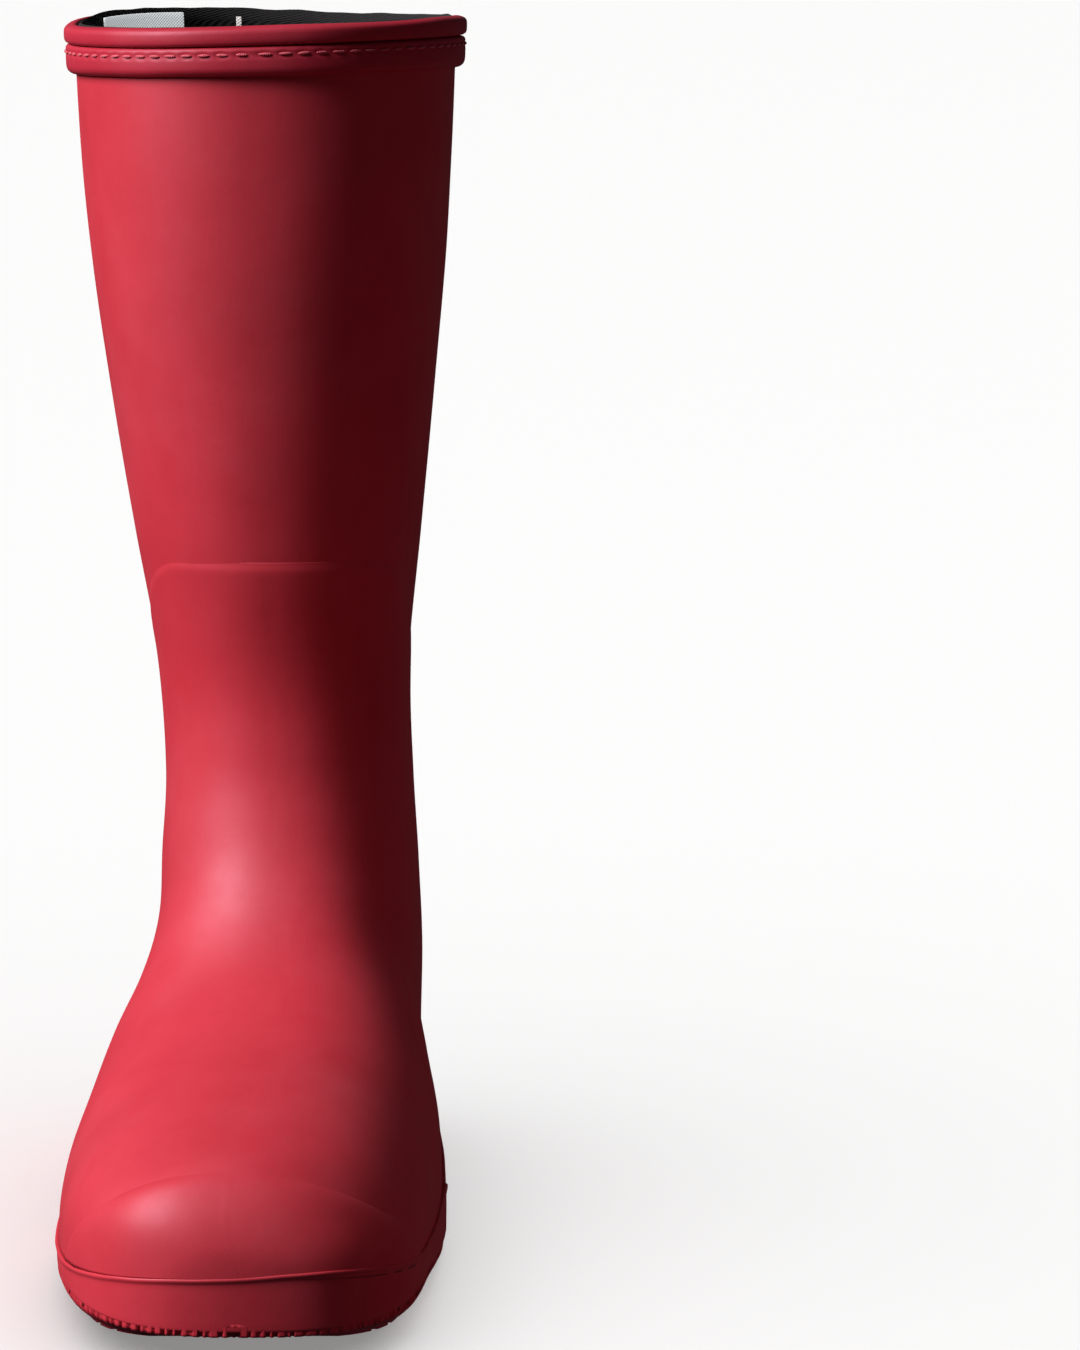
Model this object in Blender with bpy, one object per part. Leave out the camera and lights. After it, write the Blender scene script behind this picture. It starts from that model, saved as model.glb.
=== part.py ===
"""A rubber rain boot for the right foot, built up from its separate pieces.

Run it with blender --background --python part.py, or from the text editor.
The toe points to -Y, the inner side of the foot is +X and the boot stands on z = 0.
"""

from math import cos, exp, pi, sin

import bmesh
import bpy
from mathutils import Vector

MM = 0.001

# Driving dimensions, in millimetres. "Along" runs forward from the back of the heel.
FOOT_LENGTH = 270.0
ORIGIN_ALONG = 135.4
HEEL_HEIGHT = 11.0
HEEL_END = 74.0
TOE_SPRING = 10.0
SPRING_START = 185.0
COLLAR_LEAN = 1.7
CREST = 1.2
CROWN_SHIFT = 9.0
LUG_HEIGHT = 4.0
PLATE = 3.0
SIDEWALL = 9.0
GAP = 0.3

# Depths of the layers from the outer skin, in millimetres; outwards is positive.
SHELL = (0.0, -2.0)
OVERLAY = (1.2, GAP)
STIFFENER = (-2.0 - GAP, -3.2)
FOOT_LINING = (-3.5, -4.6)
LEG_LINING = (-2.3, -3.4)
TRIM = (-4.1, -4.7)
LIP_TOP = (1.5, -2.2)
LIP = (3.2, -3.7)
BAND = (2.9, GAP)
FOXING = (1.2, -2.0)
INSOLE_EDGE = -5.2
FOOTBED_EDGE = -8.0
THREAD_DEPTH = 2.3
THREAD_RADIUS = 0.45

# Heights above the top of the sole plate, in millimetres.
FILLER = (0.3, 2.3)
BOARD = (2.6, 4.4)
FOOTBED = (4.7, 8.6)
FOOTBED_CLOTH = (8.9, 9.6)
SIDEWALL_GAP = 0.9

# Tread and shank, in millimetres along the foot.
TREAD_START = 98.0
TREAD_RAMP = 3.0
TREAD_PITCH = 11.5
GROOVE = 3.2
GROOVE_DEPTH = 2.8
SOLE_GROOVES = [TREAD_START + TREAD_PITCH * k for k in range(2, 14)]
HEEL_GROOVES = [18.0, 18.0 + TREAD_PITCH, HEEL_END - 12.0]
CUTTER_WIDTH = 160.0
CUTTER_BELOW = 10.0
SHANK = (51.0, 148.0)
SHANK_HALF_WIDTH = 7.0
HEEL_FILLER_END = 50.0
FOREFOOT_FILLER_START = 149.0

# Where the pieces end, counted in stations from the collar (0) to the toe.
LIP_END = 0.11
THREAD_AT = 0.13
BAND_START = 0.15
BAND_END = 0.28
LABEL_END = 0.8
TAPE_END = 2.0
OVERLAY_TOP = 3.15
LEG_END = 4.5
FOOT_START = 5.6
OVERLAY_END = 7.0
COUNTER_START = 6.0
COUNTER_END = 9.0
VAMP_START = 9.5
TOE_CAP_START = 13.0
SEAM = 0.025

AROUND = 28
RING_STEP = 2 / AROUND
OUTLINE_STEPS = 44
ROW_CLEARANCE = 0.05

# Stretches round the ring, from -1 at the back over the outer side to 1 at the back again.
LABEL_SIDES = ((-0.83, -0.60),)
TAPE_SIDES = ((-0.945, -0.92),)
FRONT_SIDES = ((-8 * RING_STEP, 8 * RING_STEP),)
HEEL_SIDES = ((8 * RING_STEP, 1), (-1, -8 * RING_STEP))

# Each station is a ring through a point on the front line and one on the back line.
# along and height of the front point, the same for the back point, half width on the
# outer side and on the inner side, the middle's shift to the inner side, where the
# widest place lies between back and front, and how square the ring is at each end.
STATIONS = [
    (131, 339.6, 5, 338.4, 54.6, 54.6, 0.0, 0.50, 2.15, 2.15),
    (129, 290, 3, 286, 52.2, 52.2, 0.1, 0.50, 2.15, 2.15),
    (124, 240, 3, 236, 47.2, 47.2, 0.9, 0.50, 2.15, 2.15),
    (117, 195, 5, 188, 41.5, 41.5, 2.1, 0.50, 2.15, 2.15),
    (109.5, 158, 11, 145, 36.4, 36.4, 3.5, 0.50, 2.15, 2.15),
    (109.5, 132, 13, 108, 35.7, 35.7, 4.7, 0.50, 2.2, 2.3),
    (113, 114, 8, 73, 37.6, 36.6, 5.4, 0.50, 2.5, 2.6),
    (119, 99, 1, 38, 38.9, 37.0, 5.8, 0.52, 2.9, 3.2),
    (128, 86.5, 6, -4, 44.0, 36.8, 5.8, 0.60, 2.9, 4.0),
    (142, 76, 52, -10, 50.4, 39.9, 5.8, 0.56, 2.8, 4.0),
    (164, 69, 100, -12, 55.6, 43.8, 5.8, 0.42, 2.8, 4.5),
    (192, 64, 152, -12, 58.6, 45.0, 5.8, 0.32, 2.8, 4.5),
    (219, 59, 196, -11, 56.0, 44.2, 4.8, 0.34, 2.8, 4.5),
    (244, 53.5, 228, -9, 48.4, 42.5, 3.3, 0.38, 2.9, 4.5),
    (262, 46.5, 249, -6, 37.0, 36.2, 1.8, 0.42, 2.9, 4.5),
    (270, 35, 262, -2, 23.0, 25.5, 1.0, 0.48, 2.5, 4.0),
    (271.5, 20, 268, 4, 7.0, 9.0, 1.6, 0.50, 2.0, 3.0),
]
SIDE_ROUNDNESS = 2.2

RED = (0.47, 0.010, 0.022)
RED_DARK = (0.40, 0.008, 0.018)
COLOURS = {
    "red_rubber": (RED, 0.42, 0.0),
    "red_sole_rubber": (RED_DARK, 0.5, 0.0),
    "black_lining": ((0.012, 0.011, 0.012), 0.9, 0.0),
    "grey_label": ((0.42, 0.42, 0.42), 0.85, 0.0),
    "pale_tape": ((0.6, 0.58, 0.55), 0.85, 0.0),
    "red_thread": ((0.30, 0.01, 0.02), 0.8, 0.0),
    "board": ((0.30, 0.22, 0.14), 0.9, 0.0),
    "foam": ((0.10, 0.10, 0.11), 0.95, 0.0),
    "footbed_cloth": ((0.02, 0.02, 0.022), 0.95, 0.0),
    "stiff_fabric": ((0.35, 0.32, 0.28), 0.9, 0.0),
    "steel": ((0.55, 0.55, 0.56), 0.35, 1.0),
}


# Shape of the boot


def smooth_step(x):
    x = min(max(x, 0.0), 1.0)
    return x * x * (3 - 2 * x)


def plate_bottom(along):
    """Underside of the sole plate: raised over the heel, with the toe turned up."""
    heel = HEEL_HEIGHT * (1 - smooth_step((along - HEEL_END) / 70))
    toe = TOE_SPRING * max(0.0, (along - SPRING_START) / (FOOT_LENGTH - SPRING_START)) ** 2
    return LUG_HEIGHT + heel + toe


def plate_top(along):
    return plate_bottom(along) + PLATE


def lip_height(along):
    """Where the upper meets the top of the sidewall."""
    return plate_top(along) + SIDEWALL


def station(u):
    """The station values at u, on a smooth curve through the whole-number stations."""
    last = len(STATIONS) - 1
    i = min(max(int(u), 0), last - 1)
    t = u - i
    p1, p2 = STATIONS[i], STATIONS[i + 1]
    p0, p3 = STATIONS[max(i - 1, 0)], STATIONS[min(i + 2, last)]
    first, second = (1 if i == 0 else 2), (1 if i == last - 1 else 2)
    return [
        (2 * t**3 - 3 * t**2 + 1) * b
        + (t**3 - 2 * t**2 + t) * (c - a) / first
        + (3 * t**2 - 2 * t**3) * c
        + (t**3 - t**2) * (d - b) / second
        for a, b, c, d in zip(p0, p1, p2, p3)
    ]


def ring_point(u, angle):
    """x, along and height on ring u; angle 0 is its front, pi its back, and + the inner side."""
    fa, fh, ba, bh, outer, inner, middle, widest, front_power, back_power = station(u)
    ca, ch = ba + widest * (fa - ba), bh + widest * (fh - bh)
    c, s = cos(angle), sin(angle)
    ea, eh, power = (fa, fh, front_power) if c > 0 else (ba, bh, back_power)
    reach = abs(c) ** (2 / power)
    side = (inner if s > 0 else outer) * abs(s) ** (2 / SIDE_ROUNDNESS)
    side = side if s > 0 else -side
    if u > 11:
        away = (u - 13.45 + 0.7 * s) / 0.55
        lift = CREST * exp(-away * away) * max(c, 0.0) ** 0.5
        eh, ea = eh + lift, ea + 0.4 * lift
    along, height = ca + (ea - ca) * reach, ch + (eh - ch) * reach
    if u > 11 and c > 0:
        over = smooth_step((height - lip_height(along)) / 16) * c**1.5
        side -= CROWN_SHIFT * over * smooth_step((u - 11.2) / 2.2)
    lean = COLLAR_LEAN * side / 55 * (1 - smooth_step(u / 1.6))
    return middle + side, along, height + lean


def bisect(low, high, above):
    for _ in range(40):
        mid = (low + high) / 2
        low, high = (mid, high) if above(mid) else (low, mid)
    return (low + high) / 2


def over_lip(u, angle):
    _, along, height = ring_point(u, angle)
    return height > lip_height(along)


HEEL_STATION = bisect(6.5, 8.5, lambda u: over_lip(u, pi))
TOE_STATION = bisect(14.5, 16.0, lambda u: over_lip(u, 0))


def lip_angle(u, side):
    """The angle at which ring u reaches the sidewall, on the inner (+1) or outer (-1) side."""
    if u <= HEEL_STATION:
        return pi
    return bisect(0.0, pi, lambda a: over_lip(u, side * a))


def ring_spot(u, angle):
    x, along, height = ring_point(u, angle)
    return Vector((x, ORIGIN_ALONG - along, height))


def skin(u, v):
    """A point on the outer skin: v runs from -1 at the outer edge, over the front, to 1."""
    return ring_spot(u, v * lip_angle(u, 1 if v > 0 else -1))


def skin_at(u, v, depth):
    """A point at a depth from the skin, along its normal, in metres."""
    if u >= TOE_STATION:
        u, v = TOE_STATION, 0.0
    angle = v * lip_angle(u, 1 if v > 0 else -1)
    run_u = ring_spot(u + 0.01, angle) - ring_spot(u - 0.01, angle)
    run_v = ring_spot(u, angle + 0.02) - ring_spot(u, angle - 0.02)
    return (skin(u, v) + depth * run_u.cross(run_v).normalized()) * MM


# Rows of the shared grid: every layer uses the same rows, so that layers nest without touching.
def grid_rows():
    rows = {i / 2 for i in range(28)} - {7.5}
    rows |= {HEEL_STATION + step for step in (0, 0.02, 0.06, 0.13, 0.24, 0.4)}
    return sorted(rows | {14.0, 14.4, 14.8, 15.1, 15.35, 15.52, 15.64, TOE_STATION})


GRID_ROWS = grid_rows()


def rows_between(start, stop):
    return [start] + [row for row in GRID_ROWS if start + ROW_CLEARANCE < row < stop - ROW_CLEARANCE] + [stop]


def columns_between(start, stop):
    count = max(1, round((stop - start) / RING_STEP))
    return [start + (stop - start) * k / count for k in range(count + 1)]


# Mesh building


def new_object(name, bm, finish, collection="rain_boot"):
    bmesh.ops.remove_doubles(bm, verts=bm.verts, dist=0.01 * MM)
    bmesh.ops.recalc_face_normals(bm, faces=bm.faces)
    mesh = bpy.data.meshes.new(name)
    bm.to_mesh(mesh)
    bm.free()
    obj = bpy.data.objects.new(name, mesh)
    bpy.data.collections[collection].objects.link(obj)
    if finish:
        mesh.materials.append(material(finish))
        for polygon in mesh.polygons:
            polygon.use_smooth = True
    return obj


def material(finish):
    if finish in bpy.data.materials:
        return bpy.data.materials[finish]
    colour, roughness, metallic = COLOURS[finish]
    made = bpy.data.materials.new(finish)
    made.use_nodes = True
    shader = made.node_tree.nodes["Principled BSDF"]
    shader.inputs["Base Color"].default_value = (*colour, 1)
    shader.inputs["Roughness"].default_value = roughness
    shader.inputs["Metallic"].default_value = metallic
    return made


def quads(bm, near, far):
    """Faces between two equal rows of vertices."""
    for k in range(len(near) - 1):
        bm.faces.new((near[k], near[k + 1], far[k + 1], far[k]))


def layer(name, finish, span, depths, sides=((-1, 1),), top_depths=None):
    """A shell that follows the skin between two stations, at two depths.

    sides gives its stretches round the ring. A stretch that reaches 1 or -1 joins the
    other side at the back, as far down as the heel, and ends at the sidewall in front of it.
    """
    rows = rows_between(*span)
    bm = bmesh.new()
    for start, stop in sides:
        columns = columns_between(start, stop)
        outside, inside = [], []
        for row in rows:
            outer, inner = top_depths if top_depths and row == rows[0] else depths
            outside.append([bm.verts.new(skin_at(row, v, outer)) for v in columns])
            inside.append([bm.verts.new(skin_at(row, v, inner)) for v in columns])
        for i in range(len(rows) - 1):
            quads(bm, outside[i], outside[i + 1])
            quads(bm, inside[i], inside[i + 1])
            for column, edge in ((0, start), (-1, stop)):
                if abs(edge) < 1 or rows[i] >= HEEL_STATION - 1e-6:
                    pair = [outside[i][column], outside[i + 1][column]]
                    quads(bm, pair, [inside[i][column], inside[i + 1][column]])
        quads(bm, outside[0], inside[0])
        if rows[-1] < TOE_STATION:
            quads(bm, outside[-1], inside[-1])
    return new_object(name, bm, finish)


def outline():
    """The top edge of the sidewall in plan, outer side then inner side, with outward normals."""
    sides = []
    for v in (-1, 1):
        points = []
        for k in range(OUTLINE_STEPS * 8 + 1):
            turn = (1 - cos(pi * k / (OUTLINE_STEPS * 8))) / 2
            u = HEEL_STATION + (TOE_STATION - HEEL_STATION) * turn**1.3
            points.append(skin(u, v).xy)
        sides.append(even_spacing(points))
    return sides


def even_spacing(points):
    lengths = [0.0]
    for a, b in zip(points, points[1:]):
        lengths.append(lengths[-1] + (b - a).length)
    spaced = []
    k = 0
    for step in range(OUTLINE_STEPS + 1):
        wanted = lengths[-1] * step / OUTLINE_STEPS
        while k < len(points) - 2 and lengths[k + 1] < wanted:
            k += 1
        share = (wanted - lengths[k]) / (lengths[k + 1] - lengths[k])
        spaced.append(points[k].lerp(points[k + 1], share))
    return spaced


OUTLINE = outline()


def edge_line(depth):
    """The outline moved outwards by depth, as two lists of (x, along) from heel to toe."""
    moved = []
    for points, turn in zip(OUTLINE, (1, -1)):
        line = []
        last = len(points) - 1
        for k, point in enumerate(points):
            run = points[min(k + 1, last)] - points[max(k - 1, 0)]
            normal = Vector((turn * run.y, -turn * run.x)).normalized()
            if k in (0, last):
                normal = Vector((0, 1 if k == 0 else -1))
            place = point + depth * normal
            line.append((place.x, ORIGIN_ALONG - place.y))
        moved.append(line)
    return moved


def at_along(line, along):
    """x on a moved outline at a distance along the foot."""
    for (x0, a0), (x1, a1) in zip(line, line[1:]):
        if a0 <= along <= a1:
            return x0 + (x1 - x0) * (along - a0) / (a1 - a0) if a1 > a0 else x0
    return line[0][0] if along < line[0][1] else line[-1][0]


def rungs(depth, start, stop):
    """(along, outer x, inner x) at even steps, closer together at a rounded end."""
    outer, inner = edge_line(depth)
    low, high = max(start, outer[0][1]), min(stop, outer[-1][1])
    stops = {low, high}
    stops |= {a for a in range(30, 236, 8) if low + 2 < a < high - 2}
    ramp = (TREAD_START - TREAD_RAMP, TREAD_START)
    if low < ramp[0] and high > ramp[1]:
        stops |= set(ramp)
    if low == outer[0][1]:
        stops |= {low + 30 * (1 - cos(k * pi / 16)) for k in range(1, 8)}
    if high == outer[-1][1]:
        stops |= {high - 34 * (1 - cos(k * pi / 20)) for k in range(1, 10)}
    return [(a, at_along(outer, a), at_along(inner, a)) for a in sorted(stops)]


def slab(name, finish, depth, bottom, top, start=-20.0, stop=400.0, half_width=None):
    """A layer of the sole between two height functions, shaped by the outline."""
    bm = bmesh.new()
    sections = []
    for along, outer, inner in rungs(depth, start, stop):
        if half_width:
            middle = (outer + inner) / 2
            outer, inner = middle - half_width, middle + half_width
        y = ORIGIN_ALONG - along
        corners = ((outer, bottom), (inner, bottom), (inner, top), (outer, top))
        sections.append([bm.verts.new(Vector((x, y, h(along))) * MM) for x, h in corners])
    for near, far in zip(sections, sections[1:]):
        quads(bm, near + near[:1], far + far[:1])
    bm.faces.new(sections[0])
    bm.faces.new(sections[-1])
    return new_object(name, bm, finish)


def above_plate(height):
    return lambda along: plate_top(along) + height


def cut_grooves(obj, places, floor):
    """Cuts straight grooves across the underside, with a Boolean."""
    bm = bmesh.new()
    for along in places:
        top = floor(along) + GROOVE_DEPTH
        size = Vector((CUTTER_WIDTH, GROOVE, top + CUTTER_BELOW)) * MM
        middle = Vector((0, ORIGIN_ALONG - along, (top - CUTTER_BELOW) / 2)) * MM
        made = bmesh.ops.create_cube(bm, size=1)["verts"]
        bmesh.ops.scale(bm, vec=size, verts=made)
        bmesh.ops.translate(bm, vec=middle, verts=made)
    cutter = new_object(obj.name + "_grooves", bm, None, "cutters")
    cutter.hide_render = True
    cutter.display_type = "WIRE"
    cut = obj.modifiers.new("grooves", "BOOLEAN")
    cut.operation = "DIFFERENCE"
    cut.object = cutter


# Pieces of the leg


def make_leg():
    layer("leg_shell", "red_rubber", (BAND_START, LEG_END), SHELL)
    layer("leg_lining", "black_lining", (BAND_START, LEG_END), LEG_LINING)
    layer("collar_lip", "red_rubber", (0.0, LIP_END), LIP, top_depths=LIP_TOP)
    layer("collar_band", "red_rubber", (BAND_START, BAND_END), BAND)
    layer("size_label", "grey_label", (BAND_START, LABEL_END), TRIM, LABEL_SIDES)
    layer("rear_seam_tape", "pale_tape", (BAND_START, TAPE_END), TRIM, TAPE_SIDES)
    make_collar_thread()


def make_collar_thread():
    """A thread in the groove between the lip and the band."""
    curve = bpy.data.curves.new("collar_stitch_thread", "CURVE")
    curve.dimensions = "3D"
    curve.bevel_depth = THREAD_RADIUS * MM
    curve.bevel_resolution = 1
    spline = curve.splines.new("POLY")
    spline.points.add(AROUND * 2 - 1)
    for k, point in enumerate(spline.points):
        point.co = (*skin_at(THREAD_AT, -1 + k * RING_STEP / 2, THREAD_DEPTH), 1)
    spline.use_cyclic_u = True
    curve.materials.append(material("red_thread"))
    obj = bpy.data.objects.new("collar_stitch_thread", curve)
    bpy.data.collections["rain_boot"].objects.link(obj)


# Pieces that bend at the ankle


def make_ankle():
    layer("ankle_shell", "red_rubber", (LEG_END + SEAM, FOOT_START - SEAM), SHELL)
    layer("ankle_lining", "black_lining", (LEG_END + SEAM, FOOT_START - SEAM), LEG_LINING)
    layer("ankle_overlay", "red_rubber", (OVERLAY_TOP, OVERLAY_END), OVERLAY, FRONT_SIDES)


# Pieces of the foot


def make_upper():
    layer("quarters", "red_rubber", (FOOT_START, VAMP_START - SEAM), SHELL)
    layer("vamp", "red_rubber", (VAMP_START, TOE_STATION), SHELL)
    layer("toe_cap", "red_rubber", (TOE_CAP_START, TOE_STATION), OVERLAY)
    layer("heel_patch", "red_rubber", (COUNTER_START, COUNTER_END), OVERLAY, HEEL_SIDES)
    layer("toe_puff", "stiff_fabric", (TOE_CAP_START, TOE_STATION), STIFFENER)
    layer("counter_stiffener", "stiff_fabric", (COUNTER_START, COUNTER_END), STIFFENER, HEEL_SIDES)
    layer("foot_lining", "black_lining", (FOOT_START, TOE_STATION), FOOT_LINING)


def tread_bottom(along):
    ramp = smooth_step((along - TREAD_START + TREAD_RAMP) / TREAD_RAMP)
    return plate_bottom(along) - LUG_HEIGHT * ramp


def make_sole():
    outsole = slab("outsole", "red_sole_rubber", FOXING[0], tread_bottom, plate_top)
    cut_grooves(outsole, SOLE_GROOVES, tread_bottom)
    heel = slab(
        "heel_block", "red_sole_rubber", FOXING[0], lambda along: 0.0,
        lambda along: plate_bottom(along) - GAP, stop=HEEL_END,
    )
    cut_grooves(heel, HEEL_GROOVES, lambda along: 0.0)
    make_foxing()
    slab("insole_board", "board", INSOLE_EDGE, above_plate(BOARD[0]), above_plate(BOARD[1]))
    low, high = above_plate(FILLER[0]), above_plate(FILLER[1])
    slab("heel_filler", "foam", INSOLE_EDGE, low, high, stop=HEEL_FILLER_END)
    slab("forefoot_filler", "foam", INSOLE_EDGE, low, high, start=FOREFOOT_FILLER_START)
    slab("shank", "steel", INSOLE_EDGE, low, high, *SHANK, half_width=SHANK_HALF_WIDTH)


def make_foxing():
    """The sidewall strip round the boot, between the sole plate and the upper."""
    bm = bmesh.new()
    low, high = above_plate(GAP), above_plate(SIDEWALL - SIDEWALL_GAP)
    loop = []
    edges = [edge_line(depth) for depth in FOXING]
    for side, order in ((0, 1), (1, -1)):
        pairs = list(zip(edges[0][side], edges[1][side]))[::order]
        for (ox, oa), (ix, ia) in pairs[:-1]:
            corners = ((ox, oa, low), (ox, oa, high), (ix, ia, high), (ix, ia, low))
            places = [Vector((x, ORIGIN_ALONG - a, h(a))) * MM for x, a, h in corners]
            loop.append([bm.verts.new(place) for place in places])
    for near, far in zip(loop, loop[1:] + loop[:1]):
        quads(bm, near + near[:1], far + far[:1])
    new_object("foxing_strip", bm, "red_rubber")


def make_footbed():
    slab("footbed", "foam", FOOTBED_EDGE, above_plate(FOOTBED[0]), above_plate(FOOTBED[1]))
    low, high = FOOTBED_CLOTH
    slab("footbed_cloth", "footbed_cloth", FOOTBED_EDGE, above_plate(low), above_plate(high))


def main():
    for obj in list(bpy.data.objects):
        bpy.data.objects.remove(obj)
    for name in ("rain_boot", "cutters"):
        bpy.context.scene.collection.children.link(bpy.data.collections.new(name))
    bpy.data.collections["cutters"].hide_render = True
    make_leg()
    make_ankle()
    make_upper()
    make_sole()
    make_footbed()


main()
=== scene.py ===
from functools import lru_cache
from math import cos, exp, pi, radians, sin
from random import Random

import bmesh
import bpy
from mathutils import Matrix, Vector, noise


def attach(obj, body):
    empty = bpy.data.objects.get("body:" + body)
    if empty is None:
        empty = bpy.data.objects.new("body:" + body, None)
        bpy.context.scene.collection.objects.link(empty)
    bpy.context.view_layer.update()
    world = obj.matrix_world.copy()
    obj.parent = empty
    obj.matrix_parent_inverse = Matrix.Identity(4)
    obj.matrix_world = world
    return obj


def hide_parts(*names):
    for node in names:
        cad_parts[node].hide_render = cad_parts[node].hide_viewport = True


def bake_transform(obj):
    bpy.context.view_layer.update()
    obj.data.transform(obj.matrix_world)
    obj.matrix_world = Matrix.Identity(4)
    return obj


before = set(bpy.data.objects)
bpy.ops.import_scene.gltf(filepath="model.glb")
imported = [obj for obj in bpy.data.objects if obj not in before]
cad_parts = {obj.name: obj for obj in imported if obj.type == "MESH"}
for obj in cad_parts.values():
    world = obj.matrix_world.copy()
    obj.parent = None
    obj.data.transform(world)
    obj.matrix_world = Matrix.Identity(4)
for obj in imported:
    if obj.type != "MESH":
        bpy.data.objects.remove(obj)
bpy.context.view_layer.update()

print("frame loaded")

# camera and light

view = {
    "place": (0.0783, -1.3996, 0.400),
    "tilt": 80.28,
    "lens": 135.97,
    "sensor": 36.0,
}
lights = {
    # place, aimed at, width, height, power, colour; mouthLight reaches only the label and the tape
    "keySoftbox": ((-1.78, -0.65, 1.62), (0.0, 0.0, 0.14), 1.2, 1.4, 97.0, (1.0, 0.96, 0.97)),
    "rimSoftbox": ((0.80, 1.60, 0.60), (0.0, 0.0, 0.15), 0.5, 1.2, 0.35, (0.86, 0.92, 1.0)),
    "floorBounce": ((0.42, -0.12, 0.02), (0.03, -0.04, 0.05), 0.35, 0.35, 0.30, (1.0, 0.30, 0.30)),
    "mouthLight": ((0.25, -0.45, 0.95), (-0.03, 0.1, 0.33), 0.3, 0.3, 9.0, (1.0, 1.0, 1.0)),
}
glossyLights = ("keySoftbox", "mouthLight")
room = {
    "floorHalf": 14.0,
    "floorColour": (0.86, 0.855, 0.85, 1),
    "worldDim": 0.03,
    "worldPale": 0.955,
    "worldColour": (0.80, 0.86, 1.0, 1),
    "sunSpread": 130,
    # broad suns that reach the floor alone, so that it stays pale
    "floorWash": 1.2,
    "floorFill": 2.35,
}


def linkTo(scene, obj):
    scene.collection.objects.link(obj)
    return obj


def makeCamera():
    data = bpy.data.cameras.new("camera")
    data.lens = view["lens"]
    data.sensor_width = view["sensor"]
    camera = linkTo(bpy.context.scene, bpy.data.objects.new("camera", data))
    camera.location = view["place"]
    camera.rotation_euler = (radians(view["tilt"]), 0, 0)
    bpy.context.scene.camera = camera


def makeLights():
    for name, (place, aim, width, height, power, colour) in lights.items():
        data = bpy.data.lights.new(name, "AREA")
        data.shape = "RECTANGLE"
        data.size = width
        data.size_y = height
        data.energy = power
        data.color = colour
        lamp = linkTo(bpy.context.scene, bpy.data.objects.new(name, data))
        lamp.location = place
        lamp.visible_camera = False
        lamp.visible_glossy = name in glossyLights
        lamp.rotation_euler = (Vector(aim) - Vector(place)).to_track_quat("-Z", "Y").to_euler()


def makeFloor():
    bm = bmesh.new()
    bmesh.ops.create_grid(bm, x_segments=1, y_segments=1, size=room["floorHalf"])
    mesh = bpy.data.meshes.new("studioFloor")
    bm.to_mesh(mesh)
    bm.free()
    floor = linkTo(bpy.context.scene, bpy.data.objects.new("studioFloor", mesh))
    paper = bpy.data.materials.new("palePaper")
    paper.use_nodes = True
    shader = paper.node_tree.nodes["Principled BSDF"]
    shader.inputs["Base Color"].default_value = room["floorColour"]
    shader.inputs["Roughness"].default_value = 0.9
    mesh.materials.append(paper)
    floor.visible_diffuse = False
    floor.visible_glossy = False
    return floor


def makeFloorLights(floor):
    only = bpy.data.collections.new("floorOnly")
    only.objects.link(floor)
    for name in ("floorWash", "floorFill"):
        sun = bpy.data.lights.new(name, "SUN")
        sun.energy = room[name]
        sun.angle = radians(room["sunSpread"])
        # one shadow under the boot is enough
        sun.use_shadow = name == "floorWash"
        lamp = linkTo(bpy.context.scene, bpy.data.objects.new(name, sun))
        lamp.location = (0, 0, 2)
        lamp.light_linking.receiver_collection = only
    # the softboxes leave the floor out
    withoutFloor = bpy.data.collections.new("withoutFloor")
    withoutFloor.objects.link(floor)
    withoutFloor.collection_objects[0].light_linking.link_state = "EXCLUDE"
    for name in lights:
        bpy.data.objects[name].light_linking.receiver_collection = withoutFloor


def makeWorld():
    # dim for light and reflections, pale for the camera
    world = bpy.data.worlds.new("studio")
    world.use_nodes = True
    nodes, links = world.node_tree.nodes, world.node_tree.links
    nodes["Background"].inputs["Color"].default_value = room["worldColour"]
    nodes["Background"].inputs["Strength"].default_value = room["worldDim"]
    pale = nodes.new("ShaderNodeBackground")
    pale.inputs["Color"].default_value = (1, 1, 1, 1)
    pale.inputs["Strength"].default_value = room["worldPale"]
    path, mix = nodes.new("ShaderNodeLightPath"), nodes.new("ShaderNodeMixShader")
    links.new(path.outputs["Is Camera Ray"], mix.inputs[0])
    links.new(nodes["Background"].outputs[0], mix.inputs[1])
    links.new(pale.outputs[0], mix.inputs[2])
    links.new(mix.outputs[0], nodes["World Output"].inputs["Surface"])
    bpy.context.scene.world = world
    bpy.context.scene.view_settings.view_transform = "Standard"


makeCamera()
makeLights()
makeFloorLights(makeFloor())
makeWorld()
print("camera, lights and floor")

# the shape of the boot: rings from the collar (0) to the toe, in millimetres

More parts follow.
